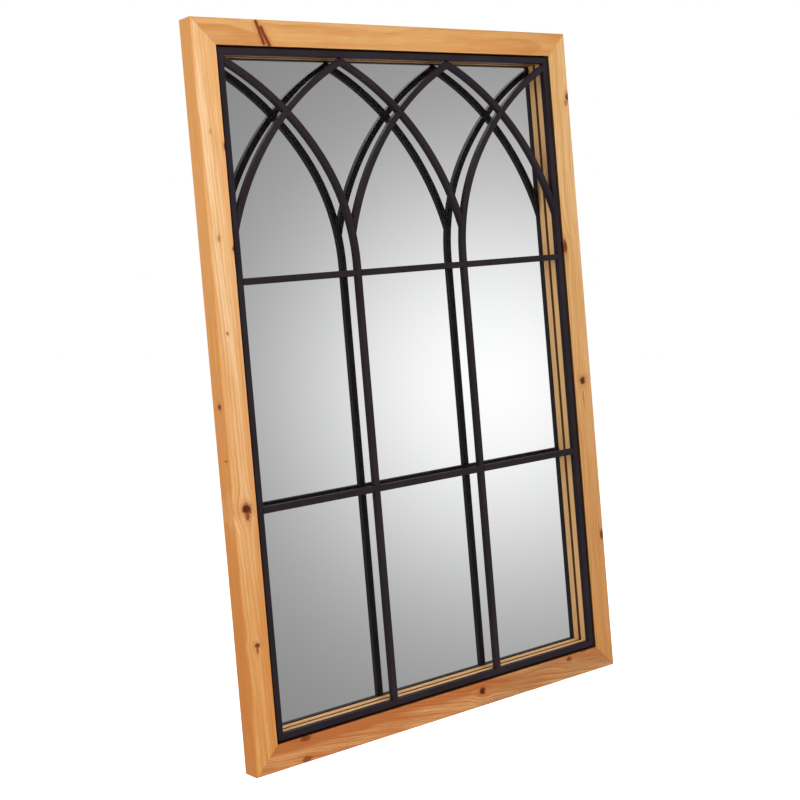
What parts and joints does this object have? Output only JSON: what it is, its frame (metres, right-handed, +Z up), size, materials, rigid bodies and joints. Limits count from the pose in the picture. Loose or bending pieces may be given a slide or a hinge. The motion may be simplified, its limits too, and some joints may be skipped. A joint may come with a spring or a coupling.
{
  "type": "rectangular wall mirror",
  "caption": "Rectangular wall mirror in a mitred wooden frame, with a dark square-bar steel window grille of crossing pointed arches set in front of the glass.",
  "frame": {"origin": "on the plane of the frame's back, midway between the two hangers, level with their ring pivots", "axes": "+X to the right seen from the front, +Z up, the mirror faces -Y"},
  "size_m": [0.6, 0.031, 0.9],
  "materials": {
    "wood": "natural, satin",
    "grille_steel": "dark powder coat, fine texture",
    "mirror": "polished",
    "board": "pressed hardboard",
    "tape": "closed-cell foam",
    "zinc": "zinc plated",
    "screw_steel": "zinc plated",
    "rubber": "matte"
  },
  "bodies": {
    "frame": {"frame_left_stile": "wood", "frame_right_stile": "wood", "frame_top_rail": "wood", "frame_bottom_rail": "wood", "corner_v_nails": "screw_steel", "grille_border_left": "grille_steel", "grille_border_right": "grille_steel", "grille_border_top": "grille_steel", "grille_border_bottom": "grille_steel", "grille_screws": "screw_steel", "mullion_left": "grille_steel", "mullion_right": "grille_steel", "arc_left_lower": "grille_steel", "arc_left_upper": "grille_steel", "arc_middle_long": "grille_steel", "arc_middle_lower": "grille_steel", "arc_middle_upper": "grille_steel", "arc_right_lower": "grille_steel", "arc_right_upper": "grille_steel", "crossbar_lower_left": "grille_steel", "crossbar_lower_middle": "grille_steel", "crossbar_lower_right": "grille_steel", "crossbar_upper_left": "grille_steel", "crossbar_upper_middle": "grille_steel", "crossbar_upper_right": "grille_steel", "glazing_tape_left": "tape", "glazing_tape_right": "tape", "glazing_tape_top": "tape", "glazing_tape_bottom": "tape", "mirror_glass": "mirror", "backing_board": "board", "turn_button_screws": "screw_steel", "hanger_plate_left": "zinc", "hanger_plate_right": "zinc", "hanger_screws": "screw_steel", "wall_bumpers": "rubber"},
    "turn_button_top": {"turn_button_top": "zinc"},
    "turn_button_bottom": {"turn_button_bottom": "zinc"},
    "turn_button_left_upper": {"turn_button_left_upper": "zinc"},
    "turn_button_left_lower": {"turn_button_left_lower": "zinc"},
    "turn_button_right_upper": {"turn_button_right_upper": "zinc"},
    "turn_button_right_lower": {"turn_button_right_lower": "zinc"},
    "hanger_ring_left": {"hanger_ring_left": "zinc"},
    "hanger_ring_right": {"hanger_ring_right": "zinc"}
  },
  "joints": [
    {"name": "turn_button_top_swivel", "type": "hinge", "parent": "frame", "child": "turn_button_top", "pos_m": [0, 0.0007, 0.156], "axis": [0, 1, 0], "continuous": true},
    {"name": "turn_button_bottom_swivel", "type": "hinge", "parent": "frame", "child": "turn_button_bottom", "pos_m": [0, 0.0007, -0.696], "axis": [0, 1, 0], "continuous": true},
    {"name": "turn_button_left_upper_swivel", "type": "hinge", "parent": "frame", "child": "turn_button_left_upper", "pos_m": [-0.276, 0.0007, -0.07], "axis": [0, 1, 0], "continuous": true},
    {"name": "turn_button_left_lower_swivel", "type": "hinge", "parent": "frame", "child": "turn_button_left_lower", "pos_m": [-0.276, 0.0007, -0.47], "axis": [0, 1, 0], "continuous": true},
    {"name": "turn_button_right_upper_swivel", "type": "hinge", "parent": "frame", "child": "turn_button_right_upper", "pos_m": [0.276, 0.0007, -0.07], "axis": [0, 1, 0], "continuous": true},
    {"name": "turn_button_right_lower_swivel", "type": "hinge", "parent": "frame", "child": "turn_button_right_lower", "pos_m": [0.276, 0.0007, -0.47], "axis": [0, 1, 0], "continuous": true},
    {"name": "hanger_ring_left_swing", "type": "hinge", "parent": "frame", "child": "hanger_ring_left", "pos_m": [-0.2825, 0.0025, 0], "axis": [1, 0, 0], "range_deg": [0, 180]},
    {"name": "hanger_ring_right_swing", "type": "hinge", "parent": "frame", "child": "hanger_ring_right", "pos_m": [0.2825, 0.0025, 0], "axis": [1, 0, 0], "range_deg": [0, 180]}
  ]
}
